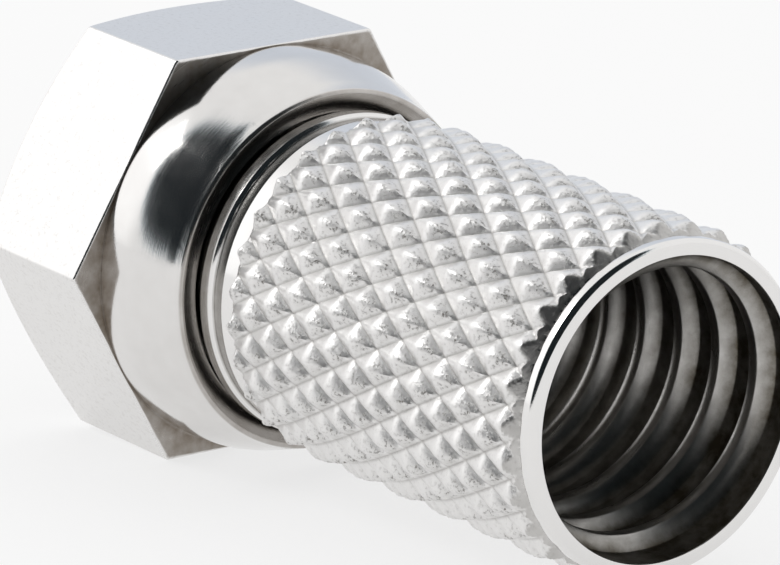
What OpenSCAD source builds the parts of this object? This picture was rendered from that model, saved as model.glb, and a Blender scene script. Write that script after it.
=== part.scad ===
// Screw-on F connector for coaxial cable: a hexagonal coupling nut that turns
// freely on a knurled body, whose socket threads itself onto the cable's jacket.
// The common axis is X. The nut's mating face is at X = 0 and the cable's mouth
// is at the +X end.

/* [Coupling nut] */
// Width across the flats of the hexagon
nut_af = 11; // [10.8:0.1:13]
// Length of the hexagonal part
hex_length = 4.65; // [3.6:0.05:5.2]
// Diameter of the flat mating face, inside the corner chamfer
face_d = 10.4; // [10:0.1:10.7]
// Angle of the chamfer on the hexagon's front corners
chamfer_angle = 30; // [15:1:40]
// Thickness of the nut's wall over the coupling thread's crests, measured at the
// flats; with the 11 mm hexagon it gives the minor diameter of the 3/8-32 thread
thread_wall = 1.07; // [0.95:0.01:1.4]
// Depth of the coupling thread, from the mating face to the body's flange
coupling_depth = 5; // [4:0.1:7]
// Pitch of the coupling thread (32 turns to the inch)
coupling_pitch = 0.794; // [0.7:0.001:1]
// Distance from the mating face to the middle of the thread's first ridge
coupling_inset = 0.5; // [0.45:0.01:0.6]
// Chamfer at the mouth of the coupling thread, outside its grooves
lead_in = 0.1; // [0.05:0.01:0.12]
// Straight length of the round shoulder behind the hexagon
shoulder_land = 0.85; // [0.5:0.05:1]
// Step from the flats down to the round shoulder
shoulder_step = 0.05; // [0.03:0.01:0.1]
// Thickness of the nut's wall round the body's flange, measured at the flats
nut_wall = 0.55; // [0.4:0.05:0.7]
// How far the lip's outer edge is rolled in from the counterbore's wall
lip_roll = 0.1; // [0.05:0.05:0.3]
// Thickness of the rolled lip that holds the flange
lip_thickness = 0.9; // [0.7:0.05:1.4]
// How far the lip's end face dishes in towards its hole
lip_dish = 0.15; // [0.05:0.05:0.3]
// Length of the lip's bevelled outer edge
lip_edge = 0.1; // [0.05:0.05:0.2]

/* [Body] */
// Thickness of the flange that the nut turns on
flange_thickness = 1.3; // [1:0.1:2]
// Diameter of the neck that runs through the nut's lip
neck_d = 7.9; // [7.4:0.1:8.2]
// Diameter of the plain collar next to the knurl
collar_d = 8.7; // [8.5:0.05:9]
// Length of that collar
collar_length = 0.6; // [0.4:0.05:1.5]
// Diameter of the narrow groove in front of the collar
groove_d = 8.5; // [8.4:0.05:8.6]
// Width of that groove
groove_width = 0.4; // [0.2:0.05:0.8]
// Diameter of the bead between the groove and the nut
bead_d = 8.76; // [8.6:0.02:9]
// Width of the bead
bead_width = 0.5; // [0.3:0.05:0.8]
// Bevel on the bead's two edges
bead_bevel = 0.08; // [0.02:0.01:0.12]

/* [Knurl] */
// Diameter over the points of the knurl
knurl_d = 9.4; // [9.2:0.05:9.8]
// Length of the knurled band
knurl_length = 11.57; // [8:0.01:16]
// Number of diamonds round the body
knurl_count = 28; // [22:1:34]
// Angle of the knurl's grooves to the axis
knurl_angle = 31; // [25:1:40]
// Depth of the grooves below the points
knurl_depth = 0.43; // [0.25:0.01:0.45]
// Distance from the rim-side end of the band to the first row of points
knurl_inset = 0.115; // [0.01:0.005:0.5]
// Turn of that row of points about the axis
knurl_turn = 11.1; // [0:0.1:360]
// Bevel on the points at both ends of the band
knurl_bevel = 0.14; // [0.05:0.01:0.25]

/* [Rim] */
// Diameter of the plain undercut between the knurl and the rim
undercut_d = 8.5; // [8.4:0.05:8.52]
// Length of the undercut
undercut_length = 0.43; // [0.2:0.01:1]
// Diameter of the rim
rim_d = 8.84; // [8.7:0.02:9.2]
// Length of the rim
rim_length = 0.4; // [0.3:0.05:1]
// Radius of the rim's outer rounding
rim_round = 0.26; // [0.1:0.01:0.28]

/* [Cable socket] */
// Diameter at the bottom of the socket's thread grooves
socket_d = 7.96; // [7.7:0.02:8]
// Diameter over the crests of the socket's thread
crest_d = 7.1; // [6.8:0.02:7.4]
// Pitch of the socket's thread
socket_pitch = 1.5; // [1.2:0.05:1.6]
// Width of each flat thread crest
crest_width = 0.57; // [0.3:0.01:0.6]
// Angle between the two flanks of a thread ridge
flank_angle = 60; // [40:1:60]
// Distance from the mouth to the middle of the first ridge
thread_inset = 1; // [0.7:0.05:1.3]
// Number of thread ridges along the socket
thread_ridges = 7; // [4:1:7]
// Plain length between the last ridge and the end of the threaded bore
thread_relief = 0.2; // [0.1:0.05:0.4]
// Length of the socket's plain end, between the thread and its conical floor
socket_land = 0.8; // [0.4:0.1:1]
// Half angle of the conical floor
floor_angle = 59; // [45:1:75]
// Diameter of the bore that passes the cable's dielectric
dielectric_d = 4.8; // [4:0.1:5.4]
// Chamfer at the front edge of that bore
dielectric_chamfer = 0.2; // [0.1:0.05:0.4]

/* [Clearances] */
// Radial clearance between the flange and the nut's counterbore
flange_clearance = 0.1; // [0.06:0.01:0.2]
// Axial clearance on each side of the flange
end_float = 0.1; // [0.05:0.01:0.2]
// Radial clearance between the neck and the nut's lip
neck_clearance = 0.3; // [0.2:0.01:0.4]
// Axial gap between the nut's lip and the body's bead
bead_gap = 0.1; // [0.05:0.01:0.3]

/* [Hidden] */

STEPS = 96;    // sides of a turned surface
ROOT = 0.08;   // how far joined shapes run into each other
BEYOND = 1;    // how far a cutter runs past what it cuts

// stations along the axis, from the mating face
flange_front = coupling_depth + end_float;
flange_back = flange_front + flange_thickness;
lip_inner = flange_back + end_float;
nut_length = lip_inner + lip_thickness;
bead_front = nut_length + bead_gap;
groove_front = bead_front + bead_width;
collar_front = groove_front + groove_width;
knurl_front = collar_front + collar_length;
knurl_back = knurl_front + knurl_length;
rim_front = knurl_back + undercut_length;
body_back = rim_front + rim_length;

// radii that follow from a fit or from a neighbour
counterbore_r = nut_af / 2 - nut_wall;
flange_r = counterbore_r - flange_clearance;
lip_hole_r = neck_d / 2 + neck_clearance;
lip_r = counterbore_r - lip_roll;
shoulder_r = nut_af / 2 - shoulder_step;
knurl_root_r = knurl_d / 2 - knurl_depth;
core_r = knurl_root_r - ROOT;
floor_length = (crest_d - dielectric_d) / 2 / tan(floor_angle);

// the coupling thread's 60 degree section, at the loose end of its tolerance, and as
// many ridges as its depth holds
coupling_height = 0.419 * coupling_pitch;
coupling_crest = 0.39 * coupling_pitch;
coupling_foot = coupling_crest + 2 * coupling_height * tan(30);
coupling_minor_r = nut_af / 2 - thread_wall;
coupling_major_r = coupling_minor_r + coupling_height;
coupling_ridges = 1 + floor((coupling_depth - coupling_inset - coupling_foot / 2) / coupling_pitch);

// the knurl's rows, half a diamond apart
knurl_step = 180 / knurl_count;
knurl_row = knurl_d / 2 * knurl_step * PI / 180 / tan(knurl_angle);
knurl_rows = ceil(knurl_length / knurl_row) + 2;

// the socket's thread, as ridges round its wall, and the stations behind it
ridge_height = (socket_d - crest_d) / 2;
ridge_foot = crest_width + 2 * ridge_height * tan(flank_angle / 2);
thread_length = thread_inset + (thread_ridges - 1) * socket_pitch + ridge_foot / 2;
thread_end = body_back - thread_length - thread_relief;
socket_floor = thread_end - ridge_height - socket_land;

// a shape turned about the X axis from an outline of [radius, station] points
module turned(outline) {
    rotate([0, 90, 0])
        rotate_extrude($fn = STEPS)
            polygon(outline);
}

// ---- coupling nut ----

// the hexagonal prism with its front corners chamfered, flats up and down
module hexagon() {
    corner_r = nut_af / 2 / cos(30) + BEYOND;
    rotate([0, 90, 0])
        intersection() {
            rotate([0, 0, 30])
                cylinder(h = hex_length, d = nut_af / cos(30), $fn = 6);
            rotate_extrude($fn = STEPS)
                polygon([
                    [0, 0],
                    [face_d / 2, 0],
                    [corner_r, (corner_r - face_d / 2) * tan(chamfer_angle)],
                    [corner_r, hex_length + BEYOND],
                    [0, hex_length + BEYOND]
                ]);
        }
}

// the round shoulder that tapers to the rolled lip
module shoulder() {
    turned([
        [0, hex_length - ROOT],
        [shoulder_r, hex_length - ROOT],
        [shoulder_r, hex_length + shoulder_land],
        [lip_r + lip_edge / 2, nut_length - lip_edge],
        [lip_r, nut_length],
        [lip_hole_r, nut_length - lip_dish],
        [0, nut_length - lip_dish]
    ]);
}

// the outline of the coupling thread's ridges, from the mating face inwards
function coupling_outline() = [
    for (i = [0:coupling_ridges - 1])
        let (middle = coupling_inset + i * coupling_pitch)
        each [
            [coupling_major_r, middle - coupling_foot / 2],
            [coupling_minor_r, middle - coupling_crest / 2],
            [coupling_minor_r, middle + coupling_crest / 2],
            [coupling_major_r, middle + coupling_foot / 2]
        ]
];

// everything cut from inside the nut: chamfer, coupling thread, counterbore and lip hole
module nut_cavity() {
    turned(concat(
        [
            [0, -BEYOND],
            [coupling_major_r + lead_in + BEYOND, -BEYOND],
            [coupling_major_r, lead_in]
        ],
        coupling_outline(),
        [
            [coupling_major_r, coupling_depth],
            [counterbore_r, coupling_depth],
            [counterbore_r, lip_inner],
            [lip_hole_r, lip_inner],
            [lip_hole_r, nut_length + BEYOND],
            [0, nut_length + BEYOND]
        ]
    ));
}

module hex_nut() {
    color([0.78, 0.77, 0.76])
        difference() {
            union() {
                hexagon();
                shoulder();
            }
            nut_cavity();
        }
}

// ---- knurled body ----

// the outline of the rim's rounded end, as a quarter of an arc
function rim_arc(steps = 6) = [
    for (i = [0:steps])
        let (a = 90 * i / steps)
        [
            rim_d / 2 - rim_round + rim_round * cos(a),
            body_back - rim_round + rim_round * sin(a)
        ]
];

// the outline of the socket's thread, from the mouth inwards
function thread_outline() = [
    for (i = [0:thread_ridges - 1])
        let (middle = body_back - thread_inset - i * socket_pitch)
        each [
            [socket_d / 2, middle + ridge_foot / 2],
            [crest_d / 2, middle + crest_width / 2],
            [crest_d / 2, middle - crest_width / 2],
            [socket_d / 2, middle - ridge_foot / 2]
        ]
];

// flange, neck, bead, collar, core, undercut and rim, with the stepped bore through them
module body_core() {
    turned(concat(
        [
            [dielectric_d / 2 + dielectric_chamfer, flange_front],
            [flange_r, flange_front],
            [flange_r, flange_back],
            [neck_d / 2, flange_back],
            [neck_d / 2, bead_front],
            [bead_d / 2 - bead_bevel, bead_front],
            [bead_d / 2, bead_front + bead_bevel],
            [bead_d / 2, groove_front - bead_bevel],
            [groove_d / 2, groove_front],
            [groove_d / 2, collar_front],
            [collar_d / 2, collar_front],
            [collar_d / 2, knurl_front + ROOT],
            [core_r, knurl_front + ROOT],
            [core_r, knurl_back - ROOT],
            [undercut_d / 2, knurl_back - ROOT],
            [undercut_d / 2, rim_front],
            [rim_d / 2, rim_front]
        ],
        rim_arc(),
        [[socket_d / 2, body_back]],
        thread_outline(),
        [
            [socket_d / 2, thread_end],
            [crest_d / 2, thread_end - ridge_height],
            [crest_d / 2, socket_floor],
            [dielectric_d / 2, socket_floor - floor_length],
            [dielectric_d / 2, flange_front + dielectric_chamfer]
        ]
    ));
}

// a point at radius r and angle a about the X axis, counted from +Y towards +Z
function around(x, r, a) = [x, r * cos(a), r * sin(a)];

// a solid bar whose surface is the whole lattice of knurl points, longer than the band
module knurl_lattice() {
    across = 2 * knurl_count;
    last_row = knurl_back - knurl_inset + knurl_row;
    function is_point(row, i) = (row + i) % 2 == 1;
    function at(row, i) = row * across + (i + across) % across;
    corners = [
        for (row = [0:knurl_rows])
            for (i = [0:across - 1])
                around(
                    last_row - row * knurl_row,
                    is_point(row, i) ? knurl_d / 2 : knurl_root_r,
                    knurl_turn + i * knurl_step
                )
    ];
    back_centre = len(corners);
    front_centre = back_centre + 1;
    facets = [
        for (row = [0:knurl_rows])
            for (i = [0:across - 1])
                if (is_point(row, i))
                    each concat(
                        row < knurl_rows ? [
                            [at(row, i), at(row, i + 1), at(row + 1, i)],
                            [at(row, i), at(row + 1, i), at(row, i - 1)]
                        ] : [],
                        row > 0 ? [
                            [at(row, i), at(row - 1, i), at(row, i + 1)],
                            [at(row, i), at(row, i - 1), at(row - 1, i)]
                        ] : []
                    )
    ];
    caps = [
        for (i = [0:across - 1])
            each [
                [back_centre, at(0, i + 1), at(0, i)],
                [front_centre, at(knurl_rows, i), at(knurl_rows, i + 1)]
            ]
    ];
    polyhedron(
        points = concat(corners, [
            [last_row, 0, 0],
            [last_row - knurl_rows * knurl_row, 0, 0]
        ]),
        faces = concat(facets, caps)
    );
}

// the band of the lattice that stands on the body, with its end points bevelled
module knurl() {
    outer_r = knurl_d / 2 + ROOT;
    bevel = knurl_bevel + ROOT;
    intersection() {
        knurl_lattice();
        turned([
            [core_r - ROOT, knurl_front],
            [outer_r - bevel, knurl_front],
            [outer_r, knurl_front + bevel],
            [outer_r, knurl_back - bevel],
            [outer_r - bevel, knurl_back],
            [core_r - ROOT, knurl_back]
        ]);
    }
}

module knurled_body() {
    color([0.82, 0.81, 0.80])
        union() {
            body_core();
            knurl();
        }
}

hex_nut();
knurled_body();
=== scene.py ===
"""Looks of a screw-on F connector: a hexagonal coupling nut that turns on a knurled body.

The common axis is X. The nut's mating face is at X = 0 and the cable's mouth is at the +X end.
Sizes in the classes are millimetres; MM turns them into the frame's metres.
"""

import logging
import math
from dataclasses import dataclass, field
from enum import Enum
from typing import Any, Optional, Union

import bmesh
import bpy
import numpy as np
from mathutils import Matrix, Vector, noise


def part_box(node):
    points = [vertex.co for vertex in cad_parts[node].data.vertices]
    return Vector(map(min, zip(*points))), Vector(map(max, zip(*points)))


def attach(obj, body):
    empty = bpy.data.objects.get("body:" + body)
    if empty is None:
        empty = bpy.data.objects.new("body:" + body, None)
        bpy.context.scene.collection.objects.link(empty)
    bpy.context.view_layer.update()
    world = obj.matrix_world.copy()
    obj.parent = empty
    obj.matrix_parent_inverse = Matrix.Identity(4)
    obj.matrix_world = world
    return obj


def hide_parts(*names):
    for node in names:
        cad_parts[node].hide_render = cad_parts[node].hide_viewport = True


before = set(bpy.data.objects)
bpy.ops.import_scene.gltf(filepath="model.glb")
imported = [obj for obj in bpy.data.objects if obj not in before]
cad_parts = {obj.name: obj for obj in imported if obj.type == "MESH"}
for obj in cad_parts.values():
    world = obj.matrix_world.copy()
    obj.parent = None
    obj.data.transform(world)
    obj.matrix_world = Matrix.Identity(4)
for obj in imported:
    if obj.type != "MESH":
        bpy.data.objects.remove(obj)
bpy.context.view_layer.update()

LOG = logging.getLogger("f_connector")

MM = 0.001
WELD = 4e-7
Colour = tuple[float, float, float]
Outline = list[tuple[float, float]]


class Mark(Enum):
    """What a point of the mesh tells the finish about its surface, from 0 to 1."""

    # Brown tarnish, together with painted shade and dark reflections put into grooves, gaps and the
    # undercut.
    STAIN_AND_SHADE = "stain_and_shade"
    MILLED = "milled"
    TURNED = "turned"
    PITTED = "pitted"


# ---- shader maths ----


class Wire:
    """One output socket of a node, on which Python's operators add Math nodes."""

    def __init__(self, bench: "Bench", socket: bpy.types.NodeSocket) -> None:
        """Keeps the socket and the bench that owns it."""
        self.bench = bench
        self.socket = socket

    def __add__(self, other: "Value") -> "Wire":
        """Gives self + other."""
        return self.bench.math("ADD", self, other)

    def __radd__(self, other: "Value") -> "Wire":
        """Gives other + self."""
        return self.bench.math("ADD", other, self)

    def __sub__(self, other: "Value") -> "Wire":
        """Gives self - other."""
        return self.bench.math("SUBTRACT", self, other)

    def __rsub__(self, other: "Value") -> "Wire":
        """Gives other - self."""
        return self.bench.math("SUBTRACT", other, self)

    def __mul__(self, other: "Value") -> "Wire":
        """Gives self * other."""
        return self.bench.math("MULTIPLY", self, other)

    def __rmul__(self, other: "Value") -> "Wire":
        """Gives other * self."""
        return self.bench.math("MULTIPLY", other, self)

    def __pow__(self, other: "Value") -> "Wire":
        """Gives self to the power of other."""
        return self.bench.math("POWER", self, other)

    def clamped(self) -> "Wire":
        """Gives self held between 0 and 1."""
        return self.bench.math("ADD", self, 0.0, clamp=True)

    def ramp(self, low: float, high: float) -> "Wire":
        """Gives a smooth step of self.

        Args:
            low: where the step starts, at 0.
            high: where it ends, at 1.

        Returns:
            The stepped value.
        """
        return self.bench.node(
            "ShaderNodeMapRange",
            {"interpolation_type": "SMOOTHSTEP"},
            {"Value": self, "From Min": low, "From Max": high},
        )


Value = Union[Wire, float]


class Bench:
    """Makes the nodes of one material or of the world."""

    def __init__(self, tree: bpy.types.NodeTree) -> None:
        """Starts from an empty node tree."""
        self.tree = tree
        tree.nodes.clear()

    def node(
        self,
        kind: str,
        settings: dict[str, Any],
        inputs: dict[Union[str, int], Any],
        output: Union[str, int] = 0,
    ) -> Wire:
        """Makes any node.

        Args:
            kind: the node's type.
            settings: the node's own properties, set before its sockets.
            inputs: values or wires, by socket name or number.
            output: which output socket to return.

        Returns:
            The wire of that output.
        """
        made = self.tree.nodes.new(kind)
        for key, value in settings.items():
            setattr(made, key, value)
        for key, value in inputs.items():
            if isinstance(value, Wire):
                self.tree.links.new(value.socket, made.inputs[key])
            else:
                made.inputs[key].default_value = value
        return Wire(self, made.outputs[output] if made.outputs else None)

    def math(self, operation: str, *values: Value, clamp: bool = False) -> Wire:
        """Makes one Math node.

        Args:
            operation: Blender's name for the operation.
            values: its operands.
            clamp: whether the result is held between 0 and 1.

        Returns:
            The result.
        """
        settings = {"operation": operation, "use_clamp": clamp}
        return self.node("ShaderNodeMath", settings, dict(enumerate(values)))

    def blend(self, share: Value, first: Any, second: Any) -> Wire:
        """Mixes two colours.

        Args:
            share: how much of the second colour is used, from 0 to 1.
            first: a colour or a wire.
            second: a colour or a wire.

        Returns:
            The mixed colour.
        """
        inputs = {0: share, 6: rgba(first), 7: rgba(second)}
        return self.node("ShaderNodeMix", {"data_type": "RGBA"}, inputs, 2)

    def grain(self, place: Wire, scale: float, detail: float = 2.0, rough: float = 0.5) -> Wire:
        """Makes a noise texture.

        Args:
            place: the coordinates that it is read at.
            scale: cells per unit of those coordinates.
            detail: octaves of finer noise.
            rough: how much each octave adds.

        Returns:
            The noise, about 0.5.
        """
        inputs = {"Vector": place, "Scale": scale, "Detail": detail, "Roughness": rough}
        return self.node("ShaderNodeTexNoise", {}, inputs)

    def rays(self) -> list[Wire]:
        """Tells whether a ray is a camera, a glossy or a transmission ray.

        Returns:
            The three wires, each 0 or 1.
        """
        paths = self.node("ShaderNodeLightPath", {}, {}, "Is Camera Ray").socket.node
        names = ("Is Camera Ray", "Is Glossy Ray", "Is Transmission Ray")
        return [Wire(self, paths.outputs[name]) for name in names]

    def mark(self, mark: Mark) -> Wire:
        """Reads one of the mesh's marks."""
        return self.node("ShaderNodeAttribute", {"attribute_name": mark.value}, {}, "Fac")


def rgba(colour: Any) -> Any:
    """Gives a colour four parts, and leaves a wire as it is."""
    return colour if isinstance(colour, Wire) else (*colour, 1.0)


# ---- finishes ----


@dataclass(frozen=True)
class NickelPlate:
    """Bright nickel over brass, with turning lines, mill grain, pits, brown tarnish and painted shade in
    grooves and gaps, by its marks.
    """

    name: str
    clean: Colour
    # Dark brown used both for tarnish and for painted shade.
    stain_and_shade_colour: Colour
    roughness: float = 0.1
    milled_roughness: float = 0.2
    pitted_roughness: float = 0.28
    line_height: float = 0.0025
    grain_height: float = 0.004
    torn_height: float = 0.023

    def make(self) -> bpy.types.Material:
        """Builds the material.

        Returns:
            The material, which reads the mesh's marks.
        """
        material = bpy.data.materials.new(self.name)
        material.use_nodes = True
        bench = Bench(material.node_tree)
        place = bench.node("ShaderNodeTexCoord", {}, {}, "Object")
        sized = bench.node("ShaderNodeVectorMath", {"operation": "SCALE"}, {0: place, "Scale": 1 / MM})
        axis = bench.node("ShaderNodeSeparateXYZ", {}, {0: sized}, "X")
        parts = axis.socket.node
        y, z = Wire(bench, parts.outputs["Y"]), Wire(bench, parts.outputs["Z"])
        radius = bench.math("SQRT", y * y + z * z)
        angle = bench.math("ARCTAN2", z, y)
        lathe = bench.node("ShaderNodeCombineXYZ", {}, {0: axis, 1: radius, 2: angle * 0.25})

        stain_and_shade = bench.mark(Mark.STAIN_AND_SHADE)
        milled = bench.mark(Mark.MILLED)
        turned = bench.mark(Mark.TURNED)
        pitted = bench.mark(Mark.PITTED)

        lines = bench.grain(lathe, 14.0, 3.0, 0.7)
        fine = bench.grain(sized, 18.0, 2.0, 0.6)
        cloud = bench.grain(sized, 1.6, 4.0, 0.6)
        torn = bench.grain(sized, 11.0, 4.0, 0.7)
        pits = torn.ramp(0.545, 0.63) * pitted**1.5
        speck = bench.grain(sized, 8.0, 4.0, 0.75).ramp(0.5, 0.68) * milled

        # Darkens towards the brown colour for real tarnish, pits and specks, and for the painted shade
        # carried by the first mark.
        dirt_and_shade = (stain_and_shade * (0.55 + 0.9 * cloud) + pits * 0.7 + speck * 0.15).clamped()
        colour = bench.blend(dirt_and_shade, self.clean, self.stain_and_shade_colour)
        rough = (
            self.roughness
            + milled * self.milled_roughness
            + pitted.ramp(0.0, 0.3) * self.pitted_roughness
            + stain_and_shade * 0.26
            + (cloud - 0.5) * 0.1
            + (lines - 0.5) * turned * 0.2
        )
        height = (
            lines * turned * self.line_height
            + fine * milled * self.grain_height
            + fine * pitted.ramp(0.0, 0.3) * 0.006
            + torn * pitted**2.0 * self.torn_height
            - pits * self.torn_height
            + fine * 0.0006
        )
        bump = bench.node(
            "ShaderNodeBump", {}, {"Strength": 1.0, "Distance": MM, "Height": height}
        )
        shader = bench.node(
            "ShaderNodeBsdfPrincipled",
            {},
            {"Base Color": colour, "Metallic": 1.0, "Roughness": rough, "Normal": bump},
        )
        bench.node("ShaderNodeOutputMaterial", {}, {"Surface": shader})
        return material


@dataclass(frozen=True)
class PaleFloor:
    """A matt white floor that keeps the part's shadow."""

    name: str = "pale_floor"
    colour: Colour = (0.94, 0.94, 0.94)
    glow: float = 0.7

    def make(self) -> bpy.types.Material:
        """Builds the material.

        Returns:
            The material.
        """
        material = bpy.data.materials.new(self.name)
        material.use_nodes = True
        bench = Bench(material.node_tree)
        camera, glossy, through = bench.rays()
        ray = bench.math("MAXIMUM", camera, bench.math("MAXIMUM", glossy, through))
        matt = bench.node("ShaderNodeBsdfDiffuse", {}, {"Color": rgba(self.colour)})
        white = bench.node("ShaderNodeEmission", {}, {"Color": rgba((1, 1, 1)), "Strength": 1.0})
        mixed = bench.node("ShaderNodeMixShader", {}, {0: ray * self.glow, 1: matt, 2: white})
        bench.node("ShaderNodeOutputMaterial", {}, {"Surface": mixed})
        return material


# ---- mesh building ----


def arc(x: float, r: float, radius: float, start: float, stop: float, steps: int) -> Outline:
    """Gives the points of an arc in an outline.

    Args:
        x: the centre's station along the axis.
        r: the centre's distance from the axis.
        radius: the arc's radius.
        start: the first angle in degrees, from +X towards away from the axis.
        stop: the last angle.
        steps: the number of pieces that the arc is cut into.

    Returns:
        Points of station and radius.
    """
    turns = np.radians(np.linspace(start, stop, steps + 1))
    return [(x + radius * math.cos(t), r + radius * math.sin(t)) for t in turns]


def smooth_step(value: np.ndarray, low: float, high: float) -> np.ndarray:
    """Gives a smooth step from 0 at low to 1 at high."""
    t = np.clip((value - low) / (high - low), 0.0, 1.0)
    return t * t * (3.0 - 2.0 * t)


class Shell:
    """Sheets of points about the X axis that are welded into one closed mesh."""

    def __init__(self, angles: np.ndarray) -> None:
        """Keeps the angle of each column, in radians, from +Y towards +Z; the last closes the turn."""
        self.angles = angles
        self.points: list[np.ndarray] = []
        self.faces: list[list[int]] = []
        self.marks: dict[Mark, list[np.ndarray]] = {mark: [] for mark in Mark}
        self.count = 0

    def add(
        self,
        x: Any,
        r: Any,
        marks: dict[Mark, Any],
        split: Optional[np.ndarray] = None,
    ) -> None:
        """Adds one sheet.

        Args:
            x: the stations along the axis, one a row or one a point.
            r: the distances from the axis, likewise.
            marks: the marks of the sheet; those left out are 0.
            split: for each cell, whether its diagonal runs from its first corner; None leaves quads.
        """
        shape = (len(x), len(self.angles))
        wide = [np.asarray(v, float) for v in (x, r)]
        x, r = [np.broadcast_to(v[:, None] if v.ndim == 1 else v, shape) for v in wide]
        sheet = np.stack([x, r * np.cos(self.angles), r * np.sin(self.angles)], axis=-1)
        self.points.append(sheet.reshape(-1, 3))
        for mark in Mark:
            value = np.asarray(marks.get(mark, 0.0), float)
            value = value[:, None] if value.ndim == 1 else value
            self.marks[mark].append(np.broadcast_to(value, shape).reshape(-1))
        index = self.count + np.arange(shape[0] * shape[1]).reshape(shape)
        a, b, c, d = index[:-1, :-1], index[:-1, 1:], index[1:, 1:], index[1:, :-1]
        if split is None:
            self.faces += np.stack([a, b, c, d], axis=-1).reshape(-1, 4).tolist()
        else:
            halves = [(split, (a, b, c)), (split, (a, c, d)), (~split, (a, b, d)), (~split, (b, c, d))]
            for cells, corners in halves:
                self.faces += np.stack([k[cells] for k in corners], axis=-1).tolist()
        self.count += sheet.shape[0] * sheet.shape[1]

    def turn(self, outline: Outline, marks: dict[Mark, Any]) -> None:
        """Adds a sheet turned from an outline of stations and radii."""
        x, r = zip(*outline)
        self.add(x, r, marks)

    def build(self, name: str, material: bpy.types.Material, sharp: float = 40.0) -> bpy.types.Object:
        """Welds the sheets into an object.

        Args:
            name: the object's name.
            material: its finish.
            sharp: the angle in degrees above which an edge is left sharp.

        Returns:
            The object, linked to the scene.
        """
        mesh = bpy.data.meshes.new(name)
        mesh.from_pydata((np.concatenate(self.points) * MM).tolist(), [], self.faces)
        for mark, values in self.marks.items():
            layer = mesh.attributes.new(mark.value, "FLOAT", "POINT")
            layer.data.foreach_set("value", np.concatenate(values).astype(np.float32))
        work = bmesh.new()
        work.from_mesh(mesh)
        bmesh.ops.remove_doubles(work, verts=work.verts, dist=WELD)
        bmesh.ops.dissolve_degenerate(work, edges=work.edges, dist=WELD)
        bmesh.ops.recalc_face_normals(work, faces=work.faces)
        open_edges = sum(1 for edge in work.edges if not edge.is_manifold)
        work.to_mesh(mesh)
        work.free()
        mesh.shade_smooth()
        mesh.set_sharp_from_angle(angle=math.radians(sharp))
        mesh.materials.append(material)
        made = bpy.data.objects.new(name, mesh)
        bpy.context.scene.collection.objects.link(made)
        LOG.info("%s: %d faces, %d open edges", name, len(mesh.polygons), open_edges)
        return made


@dataclass
class Thread:
    """A right-hand screw thread as ridges on the wall of a bore."""

    pitch: float
    root_r: float
    crest_r: float
    crest_width: float
    half_flank: float
    lead: float
    start: float
    stop: float
    end_ease: float = 0.1

    def rows(self) -> tuple[np.ndarray, np.ndarray]:
        """Gives one pitch of the ridge's section.

        Returns:
            Distances from the ridge's middle, and heights from 0 to 1.
        """
        crest = self.crest_width / 2
        flank = (self.root_r - self.crest_r) * math.tan(math.radians(self.half_flank))
        foot = crest + flank
        ease = 0.12 * flank
        half = [
            (0.0, 1.0),
            (crest - 1.4 * ease, 1.0),
            (crest, 0.93),
            (crest + flank * 0.5, 0.5),
            (foot, 0.06),
            (foot + 1.6 * ease, 0.0),
        ]
        near = [(-d, h) for d, h in reversed(half[1:])]
        edge = [(-self.pitch / 2, 0.0)]
        section = np.array(edge + near + half)
        return section[:, 0], section[:, 1]

    def sheet(
        self,
        angles: np.ndarray,
        fade: tuple[float, float, float, float],
    ) -> tuple[np.ndarray, np.ndarray, np.ndarray]:
        """Lays the ridges out along the bore.

        Args:
            angles: the columns' angles in radians.
            fade: stations of a ridge's middle where it starts and is full, then is full and ends.

        Returns:
            Stations, radii and heights from 0 to 1, one a point, all held inside the bore's ends.
        """
        offsets, heights = self.rows()
        middle = self.lead + self.pitch * angles / (2 * math.pi)
        first = math.floor((self.start - middle.max()) / self.pitch) - 1
        last = math.ceil((self.stop - middle.min()) / self.pitch) + 1
        x, h = [], []
        for number in range(first, last + 1):
            centre = middle + number * self.pitch
            full = smooth_step(centre, fade[0], fade[1]) * (1 - smooth_step(centre, fade[2], fade[3]))
            for offset, height in zip(offsets, heights):
                x.append(centre + offset)
                h.append(height * full)
        x, h = np.array(x), np.array(h)
        after_start = smooth_step(x, self.start, self.start + self.end_ease)
        before_stop = 1 - smooth_step(x, self.stop - self.end_ease, self.stop)
        h = h * after_start * before_stop
        inside = (x > self.start) & (x < self.stop)
        x = np.clip(x, self.start, self.stop)
        used = inside.any(axis=1)
        used[:-1] |= used[1:].copy()
        used[1:] |= used[:-1].copy()
        x, h = x[used], h[used]
        return x, self.root_r - (self.root_r - self.crest_r) * h, h


# ---- the coupling nut ----


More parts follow.
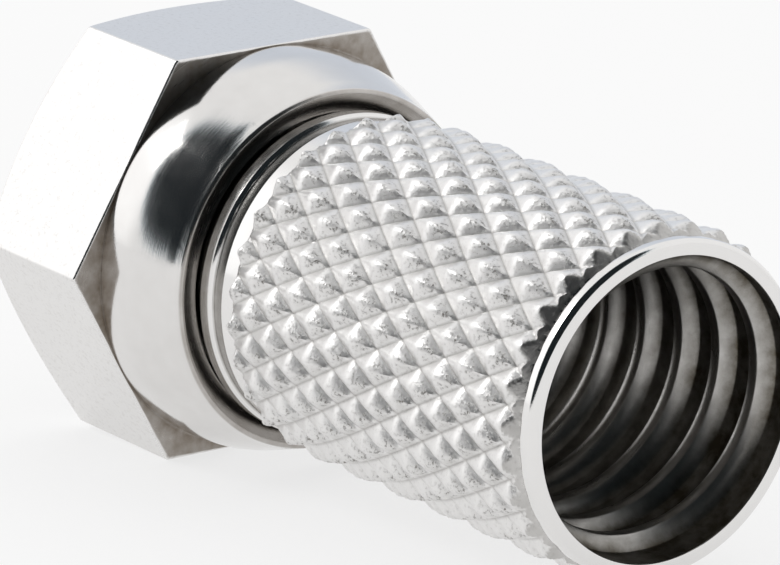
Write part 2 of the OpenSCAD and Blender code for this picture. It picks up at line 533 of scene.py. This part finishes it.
@dataclass
class CouplingNut:
    """Hexagonal nut with a round shoulder that is rolled in behind the body's flange."""

    flats: float = 11.0
    hex_length: float = 4.65
    face_r: float = 5.2
    chamfer_angle: float = 30.0
    corner_round: float = 0.11
    edge_round: float = 0.05
    shoulder_r: float = 5.45
    lip_r: float = 4.85
    lip_hole_r: float = 4.25
    lip_inner: float = 6.5
    lip_dish: float = 0.17
    counterbore_r: float = 4.95
    coupling_depth: float = 5.0
    major_r: float = 4.7625
    minor_r: float = 4.43
    mouth_r: float = 4.86
    first_ridge: float = 0.5
    pitch: float = 0.79375
    finish: NickelPlate = field(
        default_factory=lambda: NickelPlate("nut_plating", (0.80, 0.79, 0.78), (0.20, 0.165, 0.13))
    )

    def columns(self) -> np.ndarray:
        """Gives the angles of the columns, closer together at the hexagon's corners.

        Returns:
            Angles in radians.
        """
        near = [0.0, 0.14, 0.28, 0.42, 0.56, 0.8, 1.3, 2.2]
        half = near + list(np.linspace(3.6, 30.0, 18))
        sector = sorted({round(v, 4) for v in half} | {round(60 - v, 4) for v in half})[:-1]
        degrees = [60 * side + v for side in range(6) for v in sector] + [360.0]
        return np.radians(degrees)

    def hexagon(self, angles: np.ndarray) -> np.ndarray:
        """Gives the hexagon's distance from the axis at each angle, with rounded corners.

        Args:
            angles: radians from a corner.

        Returns:
            Radii.
        """
        apothem = self.flats / 2
        from_corner = np.abs((np.degrees(angles) + 30) % 60 - 30)
        flat = apothem / np.cos(np.radians(30 - from_corner))
        centre = (apothem - self.corner_round) / math.cos(math.radians(30))
        half_side = (apothem - self.corner_round) * math.tan(math.radians(30))
        tangent = 30 - math.degrees(math.atan2(half_side, apothem))
        t = np.radians(from_corner)
        under = np.maximum(self.corner_round**2 - (centre * np.sin(t)) ** 2, 0.0)
        rounded = centre * np.cos(t) + np.sqrt(under)
        return np.where(from_corner < tangent, rounded, flat)

    def hex_part(self, shell: Shell, front: float) -> None:
        """Adds the mating face, its chamfer, the flats and the hexagon's rear face.

        Args:
            shell: where the sheets go.
            front: the mating face's station.
        """
        rim = self.hexagon(shell.angles)
        slope = math.tan(math.radians(self.chamfer_angle))
        chamfer = front + (rim - self.face_r) * slope
        ones = np.ones_like(rim)
        rear = front + self.hex_length

        # mating face, front chamfer and the first part of the flats
        face = [
            (front * ones, self.mouth_r * ones),
            (front * ones, (self.mouth_r + 0.02) * ones),
            (front * ones, (self.face_r - 0.08) * ones),
            (front * ones, (self.face_r - 0.05) * ones),
            (front + 0.006 * ones, (self.face_r - 0.012) * ones),
            (front + 0.05 * slope * ones, (self.face_r + 0.05) * ones),
            (front + 0.08 * slope * ones, (self.face_r + 0.08) * ones),
            (chamfer - 0.07 * slope, rim - 0.07),
            (chamfer - 0.045 * slope, rim - 0.045),
            (chamfer - 0.01 * slope, rim - 0.012),
        ]
        shell.add([v[0] for v in face], [v[1] for v in face], {Mark.TURNED: 1.0})

        # flats, to the rounded rear edge
        edge = np.minimum(self.edge_round, 0.42 * (rim - self.shoulder_r))
        start = chamfer + 0.04
        flats = [(chamfer - 0.01 * slope, rim - 0.012), (start, rim), (start + 0.04, rim)]
        end = rear - edge
        for share in (0.1, 0.3, 0.5, 0.7, 0.9):
            flats.append((start + 0.04 + (end - 0.05 - start) * share, rim))
        flats += [(end - 0.03, rim), (end, rim)]
        for turn in (22.5, 45.0, 67.5, 90.0):
            a = math.radians(turn)
            flats.append((end + edge * math.sin(a), rim - edge * (1 - math.cos(a))))
        milled = np.ones(len(flats))
        milled[-3:] = 0.3
        shell.add([v[0] for v in flats], [v[1] for v in flats], {Mark.MILLED: milled})

        # rear face of the hexagon, down to the shoulder
        outer = rim - edge
        inner = self.shoulder_r
        shelf = []
        for share in (0.0, 0.08, 0.35, 0.65, 0.9, 1.0):
            shelf.append((rear * ones, outer + (inner - outer) * share))
        shell.add(
            [v[0] for v in shelf],
            [v[1] for v in shelf],
            {Mark.STAIN_AND_SHADE: np.array([0.25, 0.75, 0.8, 0.85, 0.9, 0.8])[:, None] * ones, Mark.TURNED: 1.0},
        )

    def shoulder_part(self, shell: Shell, front: float, back: float) -> None:
        """Adds the round shoulder, its cone and the rolled lip.

        Args:
            shell: where the sheets go.
            front: the mating face's station.
            back: the lip's rearmost station.
        """
        rear = front + self.hex_length
        inner = self.shoulder_r
        cone_end = (back - 0.1, self.lip_r + 0.04)
        shoulder: Outline = [
            (rear, inner),
            (rear + 0.04, inner),
            (rear + 0.12, inner),
            (rear + 0.45, inner - 0.006),
            (rear + 0.75, inner - 0.02),
            (rear + 0.95, inner - 0.047),
            (rear + 1.1, inner - 0.08),
            (rear + 1.25, inner - 0.117),
            (rear + 1.45, inner - 0.173),
            (rear + 1.8, inner - 0.28),
            (rear + 2.15, inner - 0.392),
            (rear + 2.4, inner - 0.472),
            (cone_end[0] - 0.12, cone_end[1] + 0.036),
        ]
        stain_and_shade = np.linspace(0.1, 0.12, len(shoulder))
        stain_and_shade[:3] = (0.7, 0.35, 0.12)
        shell.turn(shoulder, {Mark.STAIN_AND_SHADE: stain_and_shade, Mark.TURNED: 0.35})
        lip: Outline = [shoulder[-1]]
        lip += arc(back - 0.12, self.lip_r - 0.07, 0.12, 78.0, 0.0, 5)
        lip += [
            (back - 0.02, self.lip_r - 0.12),
            (back - self.lip_dish * 0.5, (self.lip_r + self.lip_hole_r) / 2 - 0.02),
            (back - self.lip_dish + 0.005, self.lip_hole_r + 0.06),
            (back - self.lip_dish - 0.02, self.lip_hole_r + 0.012),
            (back - self.lip_dish - 0.06, self.lip_hole_r),
            (back - self.lip_dish - 0.1, self.lip_hole_r),
            (self.lip_inner + front + 0.05, self.lip_hole_r),
        ]
        stain_and_shade = np.concatenate([[0.12, 0.15, 0.3], np.full(len(lip) - 3, 0.55)])
        shell.turn(lip, {Mark.STAIN_AND_SHADE: stain_and_shade, Mark.TURNED: 1.0})

    def inside_part(self, shell: Shell, front: float) -> None:
        """Adds the counterbore, then the coupling thread back to the mating face.

        Args:
            shell: where the sheets go.
            front: the mating face's station.
        """
        inside: Outline = [
            (self.lip_inner + front + 0.05, self.lip_hole_r),
            (self.lip_inner + front, self.lip_hole_r + 0.05),
            (self.lip_inner + front, self.counterbore_r - 0.1),
            (self.lip_inner + front - 0.05, self.counterbore_r - 0.02),
            (self.lip_inner + front - 0.12, self.counterbore_r),
            (self.coupling_depth + front + 0.1, self.counterbore_r),
            (self.coupling_depth + front, self.counterbore_r - 0.06),
            (self.coupling_depth + front, self.major_r + 0.01),
        ]
        shell.turn(inside, {Mark.STAIN_AND_SHADE: 0.3, Mark.TURNED: 1.0})
        thread = Thread(
            pitch=self.pitch,
            root_r=self.major_r + 0.01,
            crest_r=self.minor_r,
            crest_width=0.39 * self.pitch,
            half_flank=30.0,
            lead=front + self.first_ridge,
            start=front,
            stop=front + self.coupling_depth,
        )
        never_fades = (front - 3, front - 2, front + 8, front + 9)
        x, r, h = thread.sheet(shell.angles, never_fades)
        lead_in = self.mouth_r - (x - front)
        run_out = thread.root_r - (front + self.coupling_depth - x) * 1.6
        r = np.maximum(np.maximum(r, lead_in), np.minimum(run_out, thread.root_r))
        r = np.where(x <= front, self.mouth_r, r)
        shell.add(x, r, {Mark.STAIN_AND_SHADE: 0.15 + 0.15 * (1 - h), Mark.TURNED: 0.6})

    def build(self) -> bpy.types.Object:
        """Builds the nut.

        Returns:
            The nut.
        """
        low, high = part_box("hex_nut")
        front, back = low.x / MM, high.x / MM
        shell = Shell(self.columns())
        self.hex_part(shell, front)
        self.shoulder_part(shell, front, back)
        self.inside_part(shell, front)
        nut = shell.build("coupling_nut", self.finish.make())
        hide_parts("hex_nut")
        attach(nut, "nut")
        return nut


# ---- the knurled body ----


@dataclass
class Knurl:
    """Diamond knurl of small pyramids between two crossing sets of grooves."""

    count: int = 28
    row: float = 0.885
    point_r: float = 4.7
    depth: float = 0.29
    inset: float = 0.115
    turn: float = 11.1
    per_half: int = 7
    crown: float = 1.45
    valley: float = 0.06
    mitre: float = 9.0

    def columns(self) -> np.ndarray:
        """Gives the angles of the columns, which run through the knurl's points.

        Returns:
            Angles in radians.
        """
        total = 2 * self.count * self.per_half
        return np.radians(self.turn + 360.0 * np.arange(total + 1) / total)

    def section(self, w: np.ndarray) -> np.ndarray:
        """Gives the section across one set of grooves.

        Args:
            w: places across the grooves, which lie where it is even.

        Returns:
            Heights, from 0 on a groove to 1 midway between two.
        """
        between = np.abs(np.mod(w, 2.0) - 1.0)
        flat = 1.0 - between**self.crown
        a = self.valley
        return (np.sqrt(flat**2 + a * a) - a) / (math.sqrt(1 + a * a) - a)

    def height(self, u: np.ndarray, v: np.ndarray) -> np.ndarray:
        """Gives the knurl's height, from 0 in the grooves to 1 at the points.

        Args:
            u: half-diamonds round the body from the first point.
            v: half-diamonds along the axis from the first row of points.

        Returns:
            Heights.
        """
        first, second = self.section(u + v), self.section(u - v)
        k = self.mitre
        return -np.log((np.exp(-k * first) + np.exp(-k * second)) / 2) / k


@dataclass
class KnurledBody:
    """Turned body with its flange, collar, knurl, rim and the socket that screws onto the cable."""

    flange_r: float = 4.85
    flange_front: float = 5.1
    flange_back: float = 6.4
    neck_r: float = 3.95
    bead_front: float = 7.5
    bead_r: float = 4.38
    groove_front: float = 8.0
    groove_r: float = 4.25
    collar_front: float = 8.4
    collar_r: float = 4.35
    knurl_front: float = 9.0
    knurl_back: float = 20.57
    undercut_r: float = 4.25
    cone_slope: float = 1.2
    undercut_width: float = 0.03
    rim_front: float = 21.0
    rim_r: float = 4.42
    rim_round: float = 0.15
    socket_r: float = 3.98
    crest_r: float = 3.57
    crest_width: float = 0.36
    socket_pitch: float = 1.5
    thread_end: float = 10.67
    last_ridge: float = 1.018
    bore_r: float = 2.4
    knurl: Knurl = field(default_factory=Knurl)
    finish: NickelPlate = field(
        default_factory=lambda: NickelPlate("body_plating", (0.83, 0.82, 0.81), (0.10, 0.085, 0.06))
    )

    def front_part(self, shell: Shell) -> None:
        """Adds the flange, neck, bead, groove and collar.

        Args:
            shell: where the sheets go.
        """
        flange: Outline = [
            (self.flange_front, self.bore_r + 0.2),
            (self.flange_front, self.bore_r + 0.24),
            (self.flange_front, self.flange_r - 0.12),
            (self.flange_front, self.flange_r - 0.08),
            (self.flange_front + 0.08, self.flange_r),
            (self.flange_front + 0.12, self.flange_r),
            (self.flange_back - 0.12, self.flange_r),
            (self.flange_back - 0.08, self.flange_r),
            (self.flange_back, self.flange_r - 0.08),
            (self.flange_back, self.flange_r - 0.12),
            (self.flange_back, self.neck_r + 0.08),
            (self.flange_back + 0.08, self.neck_r),
            (self.bead_front - 0.05, self.neck_r),
            (self.bead_front, self.neck_r + 0.05),
        ]
        shell.turn(flange, {Mark.STAIN_AND_SHADE: 0.3, Mark.TURNED: 1.0})
        bead: Outline = [
            (self.bead_front, self.neck_r + 0.05),
            (self.bead_front, self.bead_r - 0.08),
            (self.bead_front + 0.03, self.bead_r - 0.03),
            (self.bead_front + 0.08, self.bead_r),
            (self.bead_front + 0.12, self.bead_r),
            (self.groove_front - 0.12, self.bead_r),
            (self.groove_front - 0.08, self.bead_r - 0.002),
            (self.groove_front - 0.01, self.bead_r - 0.07),
            (self.groove_front, self.bead_r - 0.1),
            (self.groove_front + 0.02, self.groove_r),
        ]
        # Painted shade: the bead's front face and the neck before it are darkened for the shadowed gap
        # behind the nut's lip, along with some brown tarnish.
        stain_and_shade = np.array([0.6, 0.6, 0.5, 0.4, 0.3, 0.3, 0.1, 0.05, 0.3, 0.6])
        shell.turn(bead, {Mark.STAIN_AND_SHADE: stain_and_shade, Mark.TURNED: 1.0})
        collar: Outline = [
            (self.groove_front + 0.02, self.groove_r),
            (self.groove_front + 0.06, self.groove_r),
            (self.collar_front - 0.05, self.groove_r + 0.01),
            (self.collar_front - 0.01, self.groove_r + 0.03),
            (self.collar_front + 0.02, self.collar_r - 0.02),
            (self.collar_front + 0.06, self.collar_r),
            (self.collar_front + 0.1, self.collar_r),
            (self.collar_front + 0.35, self.collar_r),
            (self.knurl_front - 0.04, self.collar_r),
            (self.knurl_front, self.collar_r),
        ]
        # Painted shade: the collar is darker beside the groove, shade in that recess along with some
        # tarnish.
        stain_and_shade = np.array([0.6, 0.55, 0.5, 0.4, 0.15, 0.08, 0.06, 0.06, 0.08, 0.15])
        shell.turn(collar, {Mark.STAIN_AND_SHADE: stain_and_shade, Mark.TURNED: 0.5})

    def within(self, u: np.ndarray, v: np.ndarray) -> tuple[np.ndarray, np.ndarray]:
        """Gives each point's place within its own diamond.

        Args:
            u: half-diamonds round the body from the first point.
            v: half-diamonds along the axis from the first row of points.

        Returns:
            Distances from the diamond's point, round the body and along the axis.
        """
        first = np.mod(u + v, 2.0) - 1.0
        second = np.mod(u - v, 2.0) - 1.0
        return (first + second) / 2, (first - second) / 2

    def knurled_part(self, shell: Shell) -> None:
        """Adds the knurled band, from the collar to the undercut.

        Args:
            shell: where the sheet goes.
        """
        k = self.knurl
        first = self.knurl_back - k.inset
        step = k.row / k.per_half
        cone_start = self.rim_front - self.undercut_width
        rows = first - step * np.arange(-3, 200)
        rows = rows[(rows > self.knurl_front + 0.2) & (rows < cone_start - 0.02)]
        extra_front = self.knurl_front + np.array([0.0, 0.03, 0.06, 0.09, 0.12, 0.155])
        near_back = rows[rows > self.knurl_back - 0.05]
        extra_back = np.concatenate([near_back - step * third / 3 for third in (1, 2)])
        x = np.unique(np.concatenate([rows, extra_front, extra_back, [cone_start]]))
        angles = shell.angles
        u = np.degrees(angles)[None, :] - k.turn
        u = u / (180.0 / k.count) + 1.0
        v = (first - x)[:, None] / k.row
        u, v = np.broadcast_arrays(u, v)
        wobble = np.zeros(u.shape)
        ragged = np.zeros(u.shape)
        for row in range(u.shape[0]):
            for col in range(u.shape[1] - 1):
                place = Vector((x[row], 4.6 * math.cos(angles[col]), 4.6 * math.sin(angles[col])))
                wobble[row, col] = noise.noise(place * 1.3)
                ragged[row, col] = noise.noise(place * 4.5)
        wobble[:, -1], ragged[:, -1] = wobble[:, 0], ragged[:, 0]
        height = k.height(u, v)
        along = self.within(u, v)[1]
        behind = smooth_step(-along, 0.0, 0.55) * smooth_step(height, 0.15, 0.5)
        r = k.point_r - k.depth + k.depth * height * (1 + 0.05 * wobble)
        r = r + (0.012 * ragged - 0.05 * (along + 0.2)) * smooth_step(height, 0.1, 0.8)
        r = np.minimum(r, k.point_r)
        ease = smooth_step(x[:, None] + 0.05 * ragged, self.knurl_front, self.knurl_front + 0.17)
        r = self.collar_r + (r - self.collar_r) * ease
        cone = self.undercut_r + (cone_start - x)[:, None] * self.cone_slope
        r = np.where(x[:, None] >= cone_start, self.undercut_r, np.minimum(r, cone))
        r[0] = self.collar_r
        cells_u = np.floor(np.round((u[:-1, :-1] + u[:-1, 1:]) / 2, 6)).astype(int)
        cells_v = np.floor(np.round((v[:-1, :-1] + v[1:, :-1]) / 2, 6)).astype(int)
        split = (cells_u + cells_v) % 2 == 1
        pitted = 0.25 + 0.75 * behind
        # Painted shade: the grooves between the points are darkened as occlusion, on top of some grime;
        # the torn side of each point gets a little real tarnish.
        stain_and_shade = 0.4 * (1 - smooth_step(height, 0.0, 0.2)) + 0.1 * behind
        # Painted shade: the cone where the knurl is cut off is darkened for the shade and dark
        # reflection at the knurl's end.
        cut = cone - 0.02 < r
        stain_and_shade = np.where(cut, 0.35, stain_and_shade)
        pitted = np.where(cut, 0.2, pitted)
        marks = {Mark.PITTED: pitted, Mark.STAIN_AND_SHADE: stain_and_shade, Mark.TURNED: np.where(cut, 0.8, 0.0)}
        shell.add(x, r, marks, split)

    def rim_part(self, shell: Shell, back: float) -> None:
        """Adds the undercut and the rounded rim, to the socket's mouth.

        Args:
            shell: where the sheet goes.
            back: the rim's rearmost station.
        """
        rim: Outline = [
            (self.rim_front - self.undercut_width, self.undercut_r),
            (self.rim_front - 0.01, self.undercut_r - 0.01),
            (self.rim_front + 0.01, self.undercut_r + 0.005),
            (self.rim_front + 0.03, self.rim_r - 0.02),
            (self.rim_front + 0.07, self.rim_r),
            (self.rim_front + 0.1, self.rim_r),
        ]
        rim += arc(back - self.rim_round, self.rim_r - self.rim_round, self.rim_round, 86.0, 0.0, 9)
        rim += [
            (back, self.rim_r - self.rim_round - 0.03),
            (back, self.socket_r + 0.06),
            (back - 0.008, self.socket_r + 0.02),
            (back - 0.04, self.socket_r),
        ]
        stain_and_shade = np.full(len(rim), 0.05)
        # Painted shade: the undercut between the knurl and the rim is darkened for the shade and dark
        # reflection in that groove.
        stain_and_shade[:4] = (0.3, 0.6, 0.6, 0.1)
        shell.turn(rim, {Mark.STAIN_AND_SHADE: stain_and_shade, Mark.TURNED: 0.5})

    def socket_part(self, shell: Shell, back: float) -> None:
        """Adds the socket's thread, its plain end, the conical floor and the dielectric's bore.

        Args:
            shell: where the sheets go.
            back: the rim's rearmost station.
        """
        thread = Thread(
            pitch=self.socket_pitch,
            root_r=self.socket_r,
            crest_r=self.crest_r,
            crest_width=self.crest_width,
            half_flank=30.0,
            lead=back - self.last_ridge,
            start=self.thread_end,
            stop=back - 0.04,
        )
        fade = (self.thread_end + 0.1, self.thread_end + 0.7, back - 0.62, back - 0.33)
        x, r, h = thread.sheet(shell.angles, fade)
        deep = smooth_step(back - x, 0.5, 9.0)
        # Brown tarnish inside the socket, with painted shade making the thread's roots darker than its
        # crests.
        stain_and_shade = (1 - h) * (0.9 - 0.25 * deep) + h * (0.5 - 0.05 * deep)
        shell.add(x, r, {Mark.STAIN_AND_SHADE: stain_and_shade, Mark.TURNED: 0.7, Mark.PITTED: 0.1})
        step = self.socket_r - self.crest_r
        floor_x = self.thread_end - step - 0.8
        floor_length = (self.crest_r - self.bore_r) / math.tan(math.radians(59))
        end: Outline = [
            (self.thread_end, self.socket_r),
            (self.thread_end - 0.03, self.socket_r - 0.02),
            (self.thread_end - step, self.crest_r + 0.01),
            (self.thread_end - step - 0.04, self.crest_r),
            (floor_x + 0.04, self.crest_r),
            (floor_x, self.crest_r - 0.03),
            (floor_x - 0.03, self.crest_r - 0.08),
            (floor_x - floor_length + 0.02, self.bore_r + 0.04),
            (floor_x - floor_length - 0.03, self.bore_r),
            (floor_x - floor_length - 0.08, self.bore_r),
            (self.flange_front + 0.25, self.bore_r),
            (self.flange_front + 0.2, self.bore_r + 0.004),
            (self.flange_front, self.bore_r + 0.2),
        ]
        shell.turn(end, {Mark.STAIN_AND_SHADE: 0.85, Mark.TURNED: 1.0})

    def build(self) -> bpy.types.Object:
        """Builds the body's mesh.

        Returns:
            The body.
        """
        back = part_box("knurled_body")[1].x / MM
        shell = Shell(self.knurl.columns())
        self.front_part(shell)
        self.knurled_part(shell)
        self.rim_part(shell, back)
        self.socket_part(shell, back)
        body = shell.build("knurled_connector_body", self.finish.make())
        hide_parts("knurled_body")
        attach(body, "body")
        return body


# ---- the studio ----


@dataclass(frozen=True)
class Patch:
    """A round patch of the surroundings with a soft edge, by angles in degrees from its middle."""

    aim: tuple[float, float, float]
    outer: float
    inner: float

    def share(self, bench: Bench, direction: Wire) -> Wire:
        """Tells how far a direction lies inside the patch.

        Args:
            bench: where the nodes are made.
            direction: the direction that is looked in.

        Returns:
            A value from 0 outside the patch to 1 within its inner angle.
        """
        inputs = {0: direction, 1: Vector(self.aim).normalized()}
        cosine = bench.node("ShaderNodeVectorMath", {"operation": "DOT_PRODUCT"}, inputs, "Value")
        return cosine.ramp(math.cos(math.radians(self.outer)), math.cos(math.radians(self.inner)))


@dataclass
class Studio:
    """Floor, surroundings, lamp and camera."""

    floor_size: float = 3000.0
    rest_front: tuple[float, float] = (4.65, -5.5)
    rest_back: tuple[float, float] = (20.45, -4.69)
    dark: Patch = Patch((0.612, -0.612, 0.5), 66.5, 62.5)
    dark_side: Patch = Patch((0.97, 0.12, 0.2), 25.0, 20.0)
    low_back: Patch = Patch((-0.75, 0.6, 0.28), 34.0, 8.0)
    window: Patch = Patch((-0.76, -0.54, 0.36), 36.0, 10.0)
    soft_box: tuple[float, float, float] = (-0.56, -0.50, 0.66)
    lens: float = 347.7
    azimuth: float = 52.2
    elevation: float = 17.0
    roll: float = 1.9
    distance: float = 187.3
    target: tuple[float, float, float] = (16.533, -5.11, 2.875)

    def floor(self) -> bpy.types.Object:
        """Lays the floor against the nut's rear edge and the end of the knurl.

        Returns:
            The floor.
        """
        tilt = math.atan2(self.rest_back[1] - self.rest_front[1], self.rest_back[0] - self.rest_front[0])
        half = self.floor_size / 2
        mesh = bpy.data.meshes.new("floor")
        corners = [(-half, -half, 0), (half, -half, 0), (half, half, 0), (-half, half, 0)]
        mesh.from_pydata([Vector(c) * MM for c in corners], [], [(0, 1, 2, 3)])
        place = Matrix.Translation(Vector((self.rest_front[0], 0, self.rest_front[1])) * MM)
        mesh.transform(place @ Matrix.Rotation(-tilt, 4, "Y"))
        mesh.materials.append(PaleFloor().make())
        floor = bpy.data.objects.new("floor", mesh)
        bpy.context.scene.collection.objects.link(floor)
        return floor

    def world(self) -> None:
        """Makes the surroundings: white, with a dark side in which the polished parts show black."""
        world = bpy.data.worlds.new("studio")
        world.use_nodes = True
        bench = Bench(world.node_tree)
        direction = bench.node("ShaderNodeTexCoord", {}, {}, "Generated")

        camera, glossy, through = bench.rays()
        cap = self.dark.share(bench, direction)
        side = self.dark_side.share(bench, direction)
        dark = bench.math("MAXIMUM", cap, side)
        low_back = self.low_back.share(bench, direction)
        window = self.window.share(bench, direction)
        seen = (1.0 - low_back * 0.22 + window * 0.3) * (1.0 - dark * 0.985)
        share = bench.math("MAXIMUM", glossy, through)
        tint = bench.blend(low_back * share, (1.0, 1.0, 1.0), (0.9, 0.96, 1.06))
        tint = bench.blend(dark * share, tint, (0.7, 0.95, 1.1))
        level = seen * share + (1.0 - share) * (1.0 - dark * 0.4)
        level = level * (1.0 - camera) + camera
        back = bench.node("ShaderNodeBackground", {}, {"Color": tint, "Strength": level})
        bench.node("ShaderNodeOutputWorld", {}, {"Surface": back})
        bpy.context.scene.world = world

    def lamp(
        self,
        name: str,
        aim: tuple[float, float, float],
        distance: float,
        size: float,
        power: float,
    ) -> None:
        """Adds one soft square lamp.

        Args:
            name: its name.
            aim: the direction from the part to the lamp.
            distance: how far it stands, in millimetres.
            size: its side, in millimetres.
            power: its power in watts.
        """
        data = bpy.data.lights.new(name, "AREA")
        data.shape = "SQUARE"
        data.size = size * MM
        data.energy = power
        lamp = bpy.data.objects.new(name, data)
        unit = Vector(aim).normalized()
        lamp.location = Vector((11.0, 0.0, 0.0)) * MM + unit * distance * MM
        lamp.rotation_euler = unit.to_track_quat("Z", "Y").to_euler()
        bpy.context.scene.collection.objects.link(lamp)

    def camera(self) -> None:
        """Places the camera."""
        data = bpy.data.cameras.new("camera")
        data.lens = self.lens
        data.sensor_width = 36.0
        data.clip_start = 0.01
        data.clip_end = 10.0
        camera = bpy.data.objects.new("camera", data)
        azimuth, elevation = math.radians(self.azimuth), math.radians(self.elevation)
        away = Vector((
            math.sin(azimuth) * math.cos(elevation),
            -math.cos(azimuth) * math.cos(elevation),
            math.sin(elevation),
        ))
        level = Matrix.Rotation(math.radians(self.roll), 4, away)
        camera.location = Vector(self.target) * MM + away * (self.distance * MM)
        camera.rotation_euler = (level @ away.to_track_quat("Z", "Y").to_matrix().to_4x4()).to_euler()
        bpy.context.scene.collection.objects.link(camera)
        bpy.context.scene.camera = camera

    def build(self) -> None:
        """Sets up the whole studio."""
        bpy.context.scene.view_settings.view_transform = "Standard"
        self.camera()
        self.floor()
        self.world()
        self.lamp("soft_box", self.soft_box, 300.0, 85.0, 0.12)


def main() -> None:
    """Builds the part and its studio, and keeps both boxes."""
    logging.basicConfig(level=logging.INFO, format="%(message)s")
    Studio().build()
    CouplingNut().build()
    KnurledBody().build()


if __name__ == "__main__":
    main()
